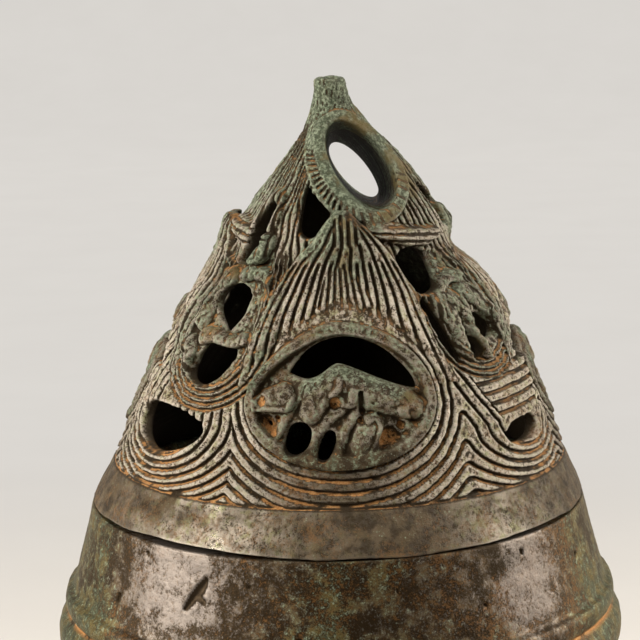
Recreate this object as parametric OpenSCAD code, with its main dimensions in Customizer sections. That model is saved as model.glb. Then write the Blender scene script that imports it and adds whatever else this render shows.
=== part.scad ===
// Bronze hill censer: an openwork lid shaped as a mountain sits over the inner lip of a
// banded bowl. The bowl stands on a knopped stem and a flared foot in a round drip tray.
// Iron rivets hold the bowl to the stem, and the stem and foot to the tray.
// The front of the censer faces -Y, and angles round the axis are counted from the front
// towards +X. Heights on the lid are counted from its rim.

/* [Lid] */
// Outer radius of the rim
lid_rim_r = 46.3; // [45.8:0.1:47]
// Outer radius at the top of the plain band
lid_band_r = 42.8; // [42.6:0.1:43.2]
// Height of the plain band above the rim
lid_band_h = 8; // [7:0.5:9]
// Outer radius of the mountain's foot, just inside the band's top
lid_foot_r = 42.2; // [41.8:0.1:42.4]
// Radius of the mountain's bulging flank
lid_flank_r = 102; // [98:1:106]
// How far the mountain leans to the right, in degrees
lid_lean = 2; // [0:0.5:2.5]
// Height where the upper cone ends and the finial's neck begins
lid_neck_z = 68; // [67:0.5:69]
// Radius of the neck
lid_neck_r = 7.5; // [7:0.1:8]
// Height of the lid, from rim to the top of the finial
lid_h = 78.5; // [76:0.5:84]
// Horizontal thickness of the lid's wall
lid_wall = 2.6; // [2.4:0.1:2.8]
// Height of the peaks' tips
peak_tip_z = 56; // [55:0.5:57]

/* [Bowl] */
// Height of the bowl's mouth, where the lid rests
mouth_z = 130; // [128:1:136]
// Radius of the round belly's section
belly_r = 44; // [43:0.5:45]
// Wall thickness of the bowl
bowl_wall = 2.8; // [2.5:0.1:3.2]
// Height of the inner lip above the mouth
lip_h = 4; // [3:0.5:5]
// Gap between the lip and the inside of the lid
lip_gap = 0.4; // [0.3:0.1:0.6]
// Outer radius of the raised band on the belly
belt_r = 53.5; // [53:0.1:54]

/* [Stand] */
// Radius of the stem
stem_r = 9; // [8:0.5:10]
// Radius of the stem's knop
knop_r = 15; // [13:0.5:16]
// Radius of the foot where it stands in the tray
foot_r = 37; // [35:1:40]
// Height of the foot's collar above the tray's floor
foot_h = 25; // [24:1:27]
// Outer radius of the tray's rim
tray_r = 88; // [86:1:94]
// Height of the tray
tray_h = 24; // [22:1:26]

/* [Hidden] */
$fn = 160;

dark_bronze = [0.27, 0.26, 0.23];
green_bronze = [0.31, 0.35, 0.29];
iron = [0.29, 0.20, 0.15];

// Lid section: slope of the flank from the vertical, at its foot and at its shoulder
flank_from = 13.8;
flank_to = 33.8;
flank_foot = [lid_foot_r, lid_band_h];
flank_axis = flank_foot - lid_flank_r * [cos(flank_from), sin(flank_from)];
flank_top = flank_axis + lid_flank_r * [cos(flank_to), sin(flank_to)];
finial_foot_z = 72;
finial_foot_r = 5;
finial_top_r = 3;
hollow_top_z = 64;
rim_edge = 1;

// Columns of the mountain: each big arch with a beast has a leaning peak above it, and each
// valley between two peaks has a sunk pocket. A beast walks to the left, or to the right for -1.
arch_angles = [0, 92, 180, -95];
beast_ways = [1, -1, 1, 1];
valley_angles = [-43, 50, 136, -137];

// Arch over the beast: an oval frame raised from the wall round a sunk field
arch_z = 26.2;
arch_w = 33;
arch_h = 23.6;
arch_end_r = 9;
frame_w = 1.7;
relief = 0.7;
field_depth = 1;

// Beast: the place, two sides and tilt of its back, head and four legs
beast_slots = [
    [[2, 0.2], 20, 6.4, -10],
    [[-9.6, -0.4], 6, 4.2, 24],
    [[-7.6, -5], 2.2, 8, -30],
    [[-4.4, -6.6], 2.2, 8, -10],
    [[4.4, -6.2], 2.2, 8, 10],
    [[9.4, -5.6], 2.2, 8, -16],
];
beast_shoulder = [[-3.4, 0], 4];

// Crescent of open air over the beast: discs of the arch's inside, the back and the head
crescent_arch = [[2.2, -2.7], 13];
crescent_back = [[2.7, -9.6], 14.3];
crescent_head = [[-9.6, -1], 4.2];

// Leaning peaks: they leave the cone as they rise, each by its own lean at the tip
peak_leans = [3.6, 1.2, 3.6, 3.4];
peak_foot_z = 35;
peak_foot_w = 31;
peak_foot_lean = 0.5;
peak_thick = 2.1;

// Eaves of rock in the valleys, right of each peak
eave_angle = 40;
eave_z = 45.6;
eave_w = 13;
eave_h = 8;
eave_lean = 1.8;

// Sunk pockets in the valleys, and the rocks left standing in them: place, two sides and tilt
pocket_z = 34;
pocket_w = 15.5;
pocket_h = 12;
pocket_end_r = 5;
rock_slots = [
    [[-4.6, 0.4], 2.6, 7, 6],
    [[1.4, 0.2], 7, 2.4, 4],
    [[5, 1], 2.2, 5.6, -8],
];

// Low opening in the front left valley: a flat head over a round sill
low_angle = -54;
low_z = 17.9;
low_w = 20.2;
low_h = 8.1;
low_sill_r = 11.8;
low_head_r = 26.5;

// Smoke holes, each with its angle, its height, and its slot's two sides and tilt.
// Those at a beast's feet and at a peak's tip are placed from their arch, and those in the
// valleys from the front. The back arch, third in the list, is closed at its beast's feet.
footed_arches = [0, 1, 3];
beast_holes = [
    [-10.5, 19.2, 4.2, 4.8, 0],
    [-2.5, 18.2, 2, 4.6, -24],
];
tip_hole = [-12, 55.6, 4.4, 7.6, -34];
valley_holes = [
    [-39, 30, 8.6, 6, 0],
    [-39, 39.2, 6.4, 5.4, 0],
    [-62, 40, 2.2, 6.4, 0],
    [-43.5, 52.8, 3.2, 8.4, -14],
    [40, 45.2, 6.6, 6.4, 0],
    [37.6, 35.2, 2.4, 11, 22],
    [48.3, 31.5, 2.8, 4, 0],
    [57, 34.6, 6, 4, 0],
    [57.5, 16.5, 10.8, 4.2, 0],
    [132, 34.6, 6, 4, 0],
    [136, 52.8, 3.2, 8.4, -14],
    [136, 16.5, 10.8, 4.2, 0],
    [-127, 34.6, 6, 4, 0],
];

// Oval eye that goes right through the cone under the finial and dips towards the back
eye_x = 2.6;
eye_z = 62;
eye_w = 7.8;
eye_h = 14.6;
eye_tilt = 37;
eye_dip = 11;
eye_rim_w = 2.2;
eye_rim_rise = 1.2;
eye_depth = 60;

// Bowl section
lid_inside_r = lid_rim_r - lid_wall;
band_lean = (lid_rim_r - lid_band_r) / lid_band_h;
lip_wall = 2.2;
lip_r = lid_inside_r - lip_gap;
belly_axis = [8, mouth_z - 22];
shoulder = [50.6, mouth_z - 15.8];
belt_top_z = mouth_z - 20.2;
belt_bottom_z = mouth_z - 29;
belt_step_r = 52;
belt_step_h = 4;
belt_round = 3;
belt_depth = 8;
boss_r = 12;
boss_h = 3;
bowl_floor_z = belly_axis[1] - belly_r + bowl_wall;
boss_z = belly_axis[1] - belly_r - boss_h;

// Stand: the bowl's boss rests on the stem's top, the foot's collar is held under the
// stem's shoulder, and the foot's edge stands on the tray's floor
tray_wall = 2.8;
tray_foot_h = 3;
tray_ring_r = 52;
tray_ring_w = 4;
tray_curve_r = 24;
tray_rim_w = 10;
tray_top = tray_foot_h + tray_wall;
tray_axis = [tray_r - tray_rim_w - tray_curve_r, tray_foot_h + tray_curve_r];
collar_z = tray_top + foot_h;
foot_wall = 2.6;
foot_edge_h = 3;
knop_arc_r = 9;
stem_ring_r = 2;
tenon_r = 6.5;
rivet_r = 3;
rivet_head_r = 6.5;
rivet_head_h = 2.4;
rivet_reach = 14;
fit = 0.05;
far = 200;
// How far a cut or a section runs past what it trims
clear = 1;

// Outer radius of the lid's plain wall at height z, above the band
function lid_r(z) =
    z < flank_top[1]
    ? flank_axis[0] + sqrt(pow(lid_flank_r, 2) - pow(z - flank_axis[1], 2))
    : flank_top[0] + (lid_neck_r - flank_top[0]) * (z - flank_top[1]) / (lid_neck_z - flank_top[1]);

// Half section inside the flank's arc moved out by grow, between two heights
module flank_section(grow, from_z, to_z) {
    intersection() {
        translate(flank_axis + [grow, 0]) circle(lid_flank_r);
        translate([0, from_z]) square([far, to_z - from_z]);
    }
}

module band_outside() {
    polygon([
        [0, 0],
        [lid_rim_r - rim_edge, 0],
        [lid_rim_r, rim_edge],
        [lid_band_r, lid_band_h],
        [0, lid_band_h],
    ]);
}

module band_inside() {
    polygon([
        [0, -clear],
        [lid_inside_r, -clear],
        [lid_inside_r, 0],
        [lid_band_r - lid_wall, lid_band_h],
        [0, lid_band_h],
    ]);
}

// The mountain's foot reaches down inside the band, which trims it
module mountain_outside() {
    flank_section(0, lid_band_h / 2, flank_top[1]);
    polygon([
        [0, flank_top[1]],
        flank_top,
        [lid_neck_r, lid_neck_z],
        [finial_foot_r, finial_foot_z],
        [finial_top_r, lid_h],
        [0, lid_h],
    ]);
}

module mountain_inside() {
    flank_section(-lid_wall, 0, flank_top[1]);
    polygon([
        [0, flank_top[1]],
        flank_top - [lid_wall, 0],
        [lid_r(hollow_top_z) - lid_wall, hollow_top_z],
        [0, hollow_top_z],
    ]);
}

// Carries a flat outline, drawn at an angle and height on the lid, through the wall
module through_wall(angle, z) {
    behind = 8;
    before = 9;
    rotate([0, 0, angle])
        translate([0, behind - lid_r(z), z])
            rotate([90, 0, 0])
                linear_extrude(behind + before) children();
}

// What an outline covers of a skin along the flank, from depth under its face to height over it
module skin(angle, z, depth, height, from_z, to_z) {
    intersection() {
        rotate_extrude()
            difference() {
                flank_section(height, from_z, to_z);
                flank_section(-depth, from_z - clear, to_z + clear);
            }
        through_wall(angle, z) children();
    }
}

module raised(angle, z) {
    skin(angle, z, lid_wall / 2, relief, z - arch_h, flank_top[1]) children();
}

module sunk(angle, z) {
    skin(angle, z, field_depth, clear, z - arch_h, flank_top[1] - clear) children();
}

// Oval of four arcs, with ends of radius end_r
module oval(w, h, end_r) {
    reach = w / 2 - end_r;
    side_r = (reach * reach + h * h / 4 - end_r * end_r) / (h - 2 * end_r);
    meet = reach * side_r / (side_r - end_r);
    intersection() {
        translate([0, h / 2 - side_r]) circle(side_r);
        translate([0, side_r - h / 2]) circle(side_r);
        square([2 * meet, h], center = true);
    }
    for (side = [-1, 1])
        translate([side * reach, 0]) circle(end_r);
}

module oval_frame(w, h, end_r) {
    difference() {
        oval(w, h, end_r);
        oval(w - 2 * frame_w, h - 2 * frame_w, end_r - frame_w);
    }
}

// Slot with round ends, turned by tilt
module slot(w, h, tilt) {
    long = max(w, h);
    wide = min(w, h);
    rotate(w > h ? tilt + 90 : tilt) {
        square([wide, long - wide], center = true);
        for (side = [-1, 1])
            translate([0, side * (long - wide) / 2]) circle(wide / 2);
    }
}

// Pointed arch of two arcs, standing on the x axis
module pointed_arch(w, h) {
    arc_r = (w * w / 4 + h * h) / w;
    intersection() {
        translate([arc_r - w / 2, 0]) circle(arc_r);
        translate([w / 2 - arc_r, 0]) circle(arc_r);
        translate([-w / 2, 0]) square([w, h]);
    }
}

module disc(centre_and_r) {
    translate(centre_and_r[0]) circle(centre_and_r[1]);
}

// Turns an outline round when its beast walks to the right
module facing(way) {
    if (way < 0)
        mirror([1, 0]) children();
    else
        children();
}

module placed_slots(list) {
    for (part = list)
        translate(part[0]) slot(part[1], part[2], part[3]);
}

module beast() {
    disc(beast_shoulder);
    placed_slots(beast_slots);
}

module crescent() {
    difference() {
        disc(crescent_arch);
        disc(crescent_back);
        disc(crescent_head);
    }
}

// Leaf of rock that stands free at its tip
module peak(angle, lean) {
    foot_r = lid_r(peak_foot_z) + peak_foot_lean;
    top_z = peak_tip_z + clear;
    top_r = lid_r(top_z) + lean;
    intersection() {
        rotate_extrude()
            polygon([
                [foot_r - peak_thick, peak_foot_z],
                [foot_r, peak_foot_z],
                [top_r, top_z],
                [top_r - peak_thick, top_z],
            ]);
        through_wall(angle, peak_foot_z)
            pointed_arch(peak_foot_w, peak_tip_z - peak_foot_z);
    }
}

// Brow of rock that overhangs the hole below it and sinks into the wall at its top
module eave(angle) {
    top_z = eave_z + eave_h + clear;
    root = lid_wall / 2;
    intersection() {
        rotate_extrude()
            polygon([
                [lid_r(eave_z) - root, eave_z],
                [lid_r(eave_z) + eave_lean, eave_z],
                [lid_r(top_z) - root / 2, top_z],
                [lid_r(top_z) - root, top_z],
            ]);
        through_wall(angle, eave_z) pointed_arch(eave_w, eave_h);
    }
}

module hole(angle, size) {
    through_wall(angle + size[0], size[1]) slot(size[2], size[3], size[4]);
}

module low_opening() {
    intersection() {
        translate([0, low_sill_r - low_h / 2]) circle(low_sill_r);
        translate([0, low_h / 2 - low_head_r]) circle(low_head_r);
        square([low_w, low_h], center = true);
    }
}

// Bar along the eye, a little wider than it
module along_eye(grow) {
    translate([eye_x, 0, eye_z])
        rotate([90 - eye_dip, 0, 0])
            linear_extrude(eye_depth, center = true)
                slot(eye_w + 2 * grow, eye_h + 2 * grow, eye_tilt);
}

// Raised rim of the eye at both ends, and the wall of its tunnel between them
module eye_rim() {
    foot_z = eye_z - eye_h;
    top_z = finial_foot_z;
    intersection() {
        rotate_extrude()
            polygon([
                [0, foot_z],
                [lid_r(foot_z) + eye_rim_rise, foot_z],
                [lid_r(top_z) + eye_rim_rise, top_z],
                [0, top_z],
            ]);
        along_eye(eye_rim_w);
    }
}

module lid_holes() {
    for (i = [0 : len(arch_angles) - 1]) {
        through_wall(arch_angles[i], arch_z) facing(beast_ways[i]) crescent();
        hole(arch_angles[i], tip_hole);
    }
    for (i = footed_arches)
        for (size = beast_holes)
            through_wall(arch_angles[i] + beast_ways[i] * size[0], size[1])
                facing(beast_ways[i]) slot(size[2], size[3], size[4]);
    for (size = valley_holes)
        hole(0, size);
    through_wall(low_angle, low_z) low_opening();
    along_eye(0);
}

module lid_fields() {
    for (angle = arch_angles)
        sunk(angle, arch_z) oval(arch_w - frame_w, arch_h - frame_w, arch_end_r - frame_w / 2);
    for (angle = valley_angles)
        sunk(angle, pocket_z)
            difference() {
                oval(pocket_w, pocket_h, pocket_end_r);
                placed_slots(rock_slots);
            }
}

module lid_relief() {
    for (i = [0 : len(arch_angles) - 1]) {
        angle = arch_angles[i];
        raised(angle, arch_z) {
            oval_frame(arch_w, arch_h, arch_end_r);
            facing(beast_ways[i]) beast();
        }
        peak(angle, peak_leans[i]);
        eave(angle + eave_angle);
    }
    eye_rim();
}

module lid_wall_solid() {
    difference() {
        union() {
            rotate_extrude() band_outside();
            rotate([0, lid_lean, 0]) rotate_extrude() mountain_outside();
        }
        rotate_extrude() band_inside();
        rotate([0, lid_lean, 0]) {
            rotate_extrude() mountain_inside();
            lid_fields();
        }
    }
}

module lid() {
    color(green_bronze)
        translate([0, 0, mouth_z])
            difference() {
                union() {
                    lid_wall_solid();
                    rotate([0, lid_lean, 0]) lid_relief();
                }
                rotate([0, lid_lean, 0]) lid_holes();
            }
}

// Lower half of a disc, cut at its own centre and kept right of the axis
module half_disc(centre, r) {
    intersection() {
        translate(centre) circle(r);
        translate([0, centre[1] - far]) square([far, far]);
    }
}

// Raised band round the belly: a thin step above and below a broad round-edged belt
module belt_section() {
    height = belt_top_z - belt_bottom_z;
    root_r = belt_r - belt_depth;
    translate([root_r, belt_bottom_z - belt_step_h])
        square([belt_step_r - root_r, height + 2 * belt_step_h]);
    translate([root_r, belt_bottom_z + belt_round])
        square([belt_depth, height - 2 * belt_round]);
    for (z = [belt_bottom_z + belt_round, belt_top_z - belt_round])
        translate([belt_r - belt_round, z]) circle(belt_round);
}

module bowl_outside() {
    lip_top_r = lip_r - lip_h * band_lean;
    half_disc(belly_axis, belly_r);
    belt_section();
    translate([0, boss_z]) square([boss_r, boss_h + bowl_wall]);
    polygon([
        [0, belly_axis[1]],
        belly_axis + [belly_r, 0],
        shoulder,
        [lid_rim_r, mouth_z],
        [lip_r, mouth_z],
        [lip_top_r, mouth_z + lip_h],
        [0, mouth_z + lip_h],
    ]);
}

module bowl_inside() {
    inner_r = belly_r - bowl_wall;
    lip_inside_r = lip_r - lip_wall - lip_h * band_lean;
    half_disc(belly_axis, inner_r);
    translate([0, bowl_floor_z]) square([belly_axis[0], inner_r]);
    polygon([
        [0, belly_axis[1]],
        belly_axis + [inner_r, 0],
        shoulder - [bowl_wall, 0],
        [lip_inside_r, mouth_z],
        [lip_inside_r, mouth_z + far],
        [0, mouth_z + far],
    ]);
}

module bowl() {
    color(dark_bronze)
        rotate_extrude()
            difference() {
                bowl_outside();
                bowl_inside();
                translate([0, boss_z - clear]) square([rivet_r + fit, far]);
            }
}

// Turned shaft with a bulging knop, and a ring at each end; its tenon goes through the collar
module stem() {
    knop_z = (collar_z + boss_z) / 2;
    color(dark_bronze)
        rotate_extrude()
            difference() {
                union() {
                    translate([0, collar_z]) square([stem_r, boss_z - collar_z]);
                    translate([0, tray_top]) square([tenon_r, foot_h]);
                    translate([knop_r - knop_arc_r, knop_z]) circle(knop_arc_r);
                    for (z = [collar_z + stem_ring_r, boss_z - stem_ring_r])
                        translate([stem_r, z]) circle(stem_ring_r);
                }
                translate([-far, 0]) square([far, far]);
                translate([0, boss_z - rivet_reach]) square([rivet_r, far]);
                translate([0, tray_top - clear]) square([rivet_r, rivet_reach + clear]);
            }
}

// Trumpet foot: a collar that flares by one hollow arc to a short upright edge
module foot() {
    flare_axis = [foot_r, collar_z];
    flare_r = foot_h - foot_edge_h;
    color(dark_bronze)
        rotate_extrude()
            difference() {
                translate([tenon_r + fit, tray_top]) square([foot_r - tenon_r - fit, foot_h]);
                translate(flare_axis) circle(flare_r);
                difference() {
                    translate([0, tray_top - clear])
                        square([foot_r - foot_wall, foot_h + clear - foot_wall]);
                    translate(flare_axis) circle(flare_r + foot_wall);
                }
            }
}

// Round dish on a low ring, with a curved wall and a flat turned-out rim
module tray() {
    color(dark_bronze)
        rotate_extrude()
            difference() {
                union() {
                    intersection() {
                        half_disc(tray_axis, tray_curve_r);
                        translate([tray_axis[0], 0]) square([tray_r, tray_h]);
                    }
                    translate([0, tray_foot_h]) square([tray_axis[0], tray_wall]);
                    translate([tray_axis[0] + tray_curve_r - 2 * tray_wall, tray_h - tray_wall])
                        square([tray_rim_w + 2 * tray_wall, tray_wall]);
                    translate([tray_ring_r - tray_ring_w, 0])
                        square([tray_ring_w, tray_foot_h + tray_wall]);
                }
                intersection() {
                    half_disc(tray_axis, tray_curve_r - tray_wall);
                    translate([tray_axis[0], 0]) square([tray_r, far]);
                }
                translate([0, -clear]) square([rivet_r + fit, far]);
            }
}

// Iron rivet with a domed head; the shank points up from the head
module rivet(shank) {
    dome_r = (rivet_head_r * rivet_head_r + rivet_head_h * rivet_head_h) / (2 * rivet_head_h);
    color(iron)
        rotate_extrude() {
            square([rivet_r, shank]);
            intersection() {
                translate([0, dome_r - rivet_head_h]) circle(dome_r);
                translate([0, -rivet_head_h]) square([rivet_head_r, rivet_head_h]);
            }
        }
}

module bowl_rivet() {
    translate([0, 0, bowl_floor_z])
        mirror([0, 0, 1])
            rivet(bowl_floor_z - boss_z + rivet_reach);
}

module tray_rivet() {
    translate([0, 0, tray_foot_h])
        rivet(tray_wall + rivet_reach);
}

lid();
bowl();
stem();
foot();
tray();
bowl_rivet();
tray_rivet();
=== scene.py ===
import math

import bpy
import numpy as np
import openvdb
from mathutils import Matrix, Vector


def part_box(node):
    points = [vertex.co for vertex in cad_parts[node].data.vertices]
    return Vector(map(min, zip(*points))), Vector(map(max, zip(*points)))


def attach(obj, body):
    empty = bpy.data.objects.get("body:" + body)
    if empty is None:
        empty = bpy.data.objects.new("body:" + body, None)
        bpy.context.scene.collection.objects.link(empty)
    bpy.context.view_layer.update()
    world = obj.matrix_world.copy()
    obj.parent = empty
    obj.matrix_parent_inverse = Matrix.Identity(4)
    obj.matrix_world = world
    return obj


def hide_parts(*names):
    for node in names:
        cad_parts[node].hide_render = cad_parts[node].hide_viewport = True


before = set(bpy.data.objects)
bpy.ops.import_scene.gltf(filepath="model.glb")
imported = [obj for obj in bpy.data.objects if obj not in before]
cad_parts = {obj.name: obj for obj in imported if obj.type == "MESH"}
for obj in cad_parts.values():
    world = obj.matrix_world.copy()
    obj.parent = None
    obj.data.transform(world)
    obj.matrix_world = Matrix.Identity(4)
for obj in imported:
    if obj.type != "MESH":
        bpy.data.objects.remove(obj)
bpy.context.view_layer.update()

# Lengths are in millimetres until a mesh is written, which is in metres.
# Angles round the axis are in degrees from the front (-Y) towards +X, and
# heights on the lid are counted from its rim.
MM = 0.001
DEGREE = math.pi / 180.0
RIM_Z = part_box("lid")[0].z / MM
LID_H = (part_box("lid")[1].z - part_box("lid")[0].z) / MM

# Camera, seen from the centre of the lid's rim
IMAGE_PX = 640
SENSOR_MM = 36.0
FOCAL_PX = 2200.0
CAMERA_DISTANCE = 419.1
CAMERA_ELEVATION = 0.2689
CAMERA_ROLL = -0.020
RIM_CENTRE_PX = (334.06, 490.03)

# Lid: outer radius and lean to the right at heights, wall, and angles of arches, valleys and low holes
LID_PROFILE = [
    (0, 46.3), (3, 45.0), (6, 43.4), (8, 42.5), (17, 39.2), (28, 34.7), (35, 31.1), (40, 27.6), (43, 25.0),
    (47, 22.0), (52, 19.2), (56, 16.6), (61.5, 12.5), (67, 8.2), (70, 5.8), (73, 3.9), (78.5, 2.6),
]
LID_LEAN = [
    (0, 0), (9, 0.5), (20, 0.8), (32, 1.35), (44, 1.6),
    (58, 2.2), (66, 2.1), (70, 1.3), (73, 0.6), (78.5, 0.0),
]
LID_WALL = 2.6
HOLLOW_TOP = 63.0
BAND_TOP = 8.1
FRONT_ARCH = 0.0
RIGHT_ARCH = 92.0
BACK_ARCH = 180.0
LEFT_ARCH = -95.0
ARCHES = (FRONT_ARCH, RIGHT_ARCH, BACK_ARCH, LEFT_ARCH)
SIDE_ARCHES = (RIGHT_ARCH, LEFT_ARCH)
SIDE_NARROW = 0.66
SIDE_RELIEF = 0.5
LEFT_VALLEY = -43.0
RIGHT_VALLEY = 50.0
LEFT_VALLEYS = (LEFT_VALLEY, 136.0)
RIGHT_VALLEYS = (RIGHT_VALLEY, -137.0)
RIGHT_LOW = 57.5
RIGHT_LOWS = (RIGHT_LOW, 136.0, -120.0)

# Chart of the lid's surface: one row for each slice of cells, one column each 0.2 degrees
CELL = 0.26
COLUMNS = 1800
COLUMN_MM = 0.13
ROWS_BELOW = 3
ROWS = int(LID_H / CELL) + 2 * ROWS_BELOW + 1
HALF_CELLS = int((LID_PROFILE[0][1] + 1.2) / CELL)
HOLLOW_ROUNDS = 10
HOLLOW_UNIT = 0.16


def step(low, high, value):
    """Smooth rise from 0 at low to 1 at high."""
    part = np.clip((value - low) / (high - low), 0.0, 1.0)
    return part * part * (3.0 - 2.0 * part)


def fall(low, high, value):
    """Smooth fall from 1 at low to 0 at high."""
    return 1 - step(low, high, value)


def hump(value, middle, width, power=2):
    """Bell curve that is 1 at the middle."""
    return np.exp(-(((value - middle) / width) ** power))


def soft_max(a, b, round_by):
    part = np.clip(0.5 + 0.5 * (a - b) / round_by, 0.0, 1.0)
    return b + (a - b) * part + round_by * part * (1.0 - part)


def soft_min(a, b, round_by):
    return -soft_max(-a, -b, round_by)


def smooth_curve(points, at):
    """Cubic curve through (place, value) points, read at the given places."""
    place, value = np.array(points, float).T
    slope = np.gradient(value, place)
    at = np.clip(at, place[0], place[-1])
    i = np.clip(np.searchsorted(place, at) - 1, 0, len(place) - 2)
    span = place[i + 1] - place[i]
    t = (at - place[i]) / span
    ends = (1 + 2 * t) * (1 - t) ** 2 * value[i] + t * t * (3 - 2 * t) * value[i + 1]
    return ends + span * t * (1 - t) * ((1 - t) * slope[i] - t * slope[i + 1])


def span_points(a, b, c, d, count):
    """Points from b towards c on the smooth curve through a, b, c and d."""
    t = np.linspace(0.0, 1.0, count, endpoint=False)[:, None]
    return b + 0.5 * t * (c - a + t * (2 * a - 5 * b + 4 * c - d + t * (3 * b - a - 3 * c + d)))


def smooth_loop(points, per_span=6):
    """Closed curve through points."""
    p = np.array(points, float)
    ends = zip(*(np.roll(p, -k, axis=0) for k in (-1, 0, 1, 2)))
    return np.vstack([span_points(*four, per_span) for four in ends])


def smooth_line(points, spacing):
    """Open curve through points, with places about spacing apart."""
    p = np.array([points[0]] + list(points) + [points[-1]], float)
    line = []
    for a, b, c, d in zip(p, p[1:], p[2:], p[3:]):
        line.append(span_points(a, b, c, d, max(2, round(np.hypot(*(c - b)) / spacing))))
    return np.vstack(line + [p[-1:]])


row_z = (np.arange(ROWS) - ROWS_BELOW) * CELL
column_angle = (np.arange(COLUMNS) + 0.5) * 360.0 / COLUMNS - 180.0
row_r = smooth_curve(LID_PROFILE, row_z)
row_lean = smooth_curve(LID_LEAN, row_z)
ANGLE, HEIGHT = np.meshgrid(column_angle.astype(np.float32), row_z.astype(np.float32))
RADIUS = np.repeat(row_r.astype(np.float32)[:, None], COLUMNS, axis=1)
AROUND = ANGLE * DEGREE * RADIUS
ABOVE_BAND = step(BAND_TOP - 0.3, BAND_TOP + 0.6, HEIGHT)


def blank(value=0.0):
    """Chart with one value all over."""
    return np.full(ANGLE.shape, value, np.float32)


def band_noise(shape, spacing, finest, coarsest, seed):
    """Noise with detail between two lengths, mostly between -1 and 1."""
    along = np.fft.fftfreq(shape[0], spacing[0])[:, None]
    across = np.fft.rfftfreq(shape[1], spacing[1])[None, :]
    rate = np.hypot(along, across)
    gain = np.exp(-((rate * finest) ** 2)) / (rate + 1.0 / coarsest)
    gain[0, 0] = 0.0
    white = np.random.default_rng(seed).standard_normal(shape)
    noise = np.fft.irfft2(np.fft.rfft2(white) * gain, shape)
    return (noise / (2.0 * noise.std())).astype(np.float32)


def lid_noise(finest, coarsest, seed):
    return band_noise((ROWS, COLUMNS), (CELL, COLUMN_MM), finest, coarsest, seed)


def turned(field, angle):
    """The same field further round the lid."""
    return np.roll(field, round(angle * COLUMNS / 360.0), axis=1)


def at_arch(field, angle):
    """A field of the front arch at another arch. The beast in the right arch walks the other way."""
    return turned(field[:, ::-1] if angle == RIGHT_ARCH else field, angle)


def beside(field, angle):
    """A field of the front arch at another arch. The side arches are narrower on the half that
    faces the front."""
    if angle == RIGHT_ARCH:
        field = field[:, ::-1]
    facing = {RIGHT_ARCH: -1.0, LEFT_ARCH: 1.0}.get(angle, 0.0)
    source = np.where(column_angle * facing > 0, column_angle / SIDE_NARROW, column_angle)
    column = np.clip(np.round((source + 180.0) * COLUMNS / 360.0 - 0.5), 0, COLUMNS - 1).astype(int)
    return turned(field[:, column], angle)


def patch(points, reach):
    """Rows and columns of the chart within reach of points near the front."""
    p = np.array(points, float)[:, :2]
    low, high = p.min(0), p.max(0)
    rows = slice(*np.searchsorted(row_z, (low[1] - reach, high[1] + reach)))
    across = reach / (smooth_curve(LID_PROFILE, min(high[1] + reach, LID_H)) * DEGREE)
    columns = slice(*np.searchsorted(column_angle, (low[0] - across, high[0] + across)))
    return rows, columns


def flat(points):
    """Points of (angle, height) as lengths round the lid and heights."""
    p = np.array(points, float)
    return np.stack([p[:, 0] * DEGREE * smooth_curve(LID_PROFILE, p[:, 1]), p[:, 1]], 1)


def outline_distance(points, reach=3.0):
    """Distance from a closed outline, below 0 inside it and at most reach outside."""
    field = blank(reach)
    rows, columns = patch(points, reach)
    x = AROUND[rows, columns][..., None]
    z = HEIGHT[rows, columns][..., None]
    a = flat(smooth_loop(points)).astype(np.float32)
    b = np.roll(a, -1, axis=0)
    edge = b - a
    t = ((x - a[:, 0]) * edge[:, 0] + (z - a[:, 1]) * edge[:, 1]) / (edge**2).sum(1)
    t = np.clip(t, 0.0, 1.0)
    away = np.hypot(x - a[:, 0] - t * edge[:, 0], z - a[:, 1] - t * edge[:, 1]).min(-1)
    crosses = (a[:, 1] > z) != (b[:, 1] > z)
    rise = np.where(edge[:, 1] == 0, 1.0, edge[:, 1])
    right_of = x < a[:, 0] + edge[:, 0] * (z - a[:, 1]) / rise
    inside = (crosses & right_of).sum(-1) % 2 == 1
    field[rows, columns] = np.minimum(np.where(inside, -away, away), reach)
    return field


def swell(x, z, line, half_widths, height, power=0.5):
    """Rounded ridge along a line, at places x and z of a surface laid flat. A higher power gives
    it gentler sides."""
    field = np.zeros(x.shape, np.float32)
    for (ax, az), (bx, bz), start, end in zip(line, line[1:], half_widths, half_widths[1:]):
        t = ((x - ax) * (bx - ax) + (z - az) * (bz - az)) / max((bx - ax) ** 2 + (bz - az) ** 2, 1e-6)
        t = np.clip(t, 0.0, 1.0)
        share = np.hypot(x - ax - t * (bx - ax), z - az - t * (bz - az)) / (start + t * (end - start))
        field = np.maximum(field, height * np.clip(1.0 - share * share, 0.0, 1.0) ** power)
    return field


def ridge(points, height, power=0.5):
    """Rounded ridge along points of (angle, height on the lid, half width)."""
    field = blank()
    half_widths = [p[2] for p in points]
    rows, columns = patch(points, max(half_widths))
    x = AROUND[rows, columns]
    field[rows, columns] = swell(x, HEIGHT[rows, columns], flat(points), half_widths, height, power)
    return field


def ridges(many, height, power=0.5):
    field = blank()
    for points in many:
        field = np.maximum(field, ridge(points, height, power))
    return field


def boss(angle, height, half_width):
    """Two points of a ridge so short that it is a round boss."""
    return [(angle, height, half_width), (angle + 0.1, height, half_width)]


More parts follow.
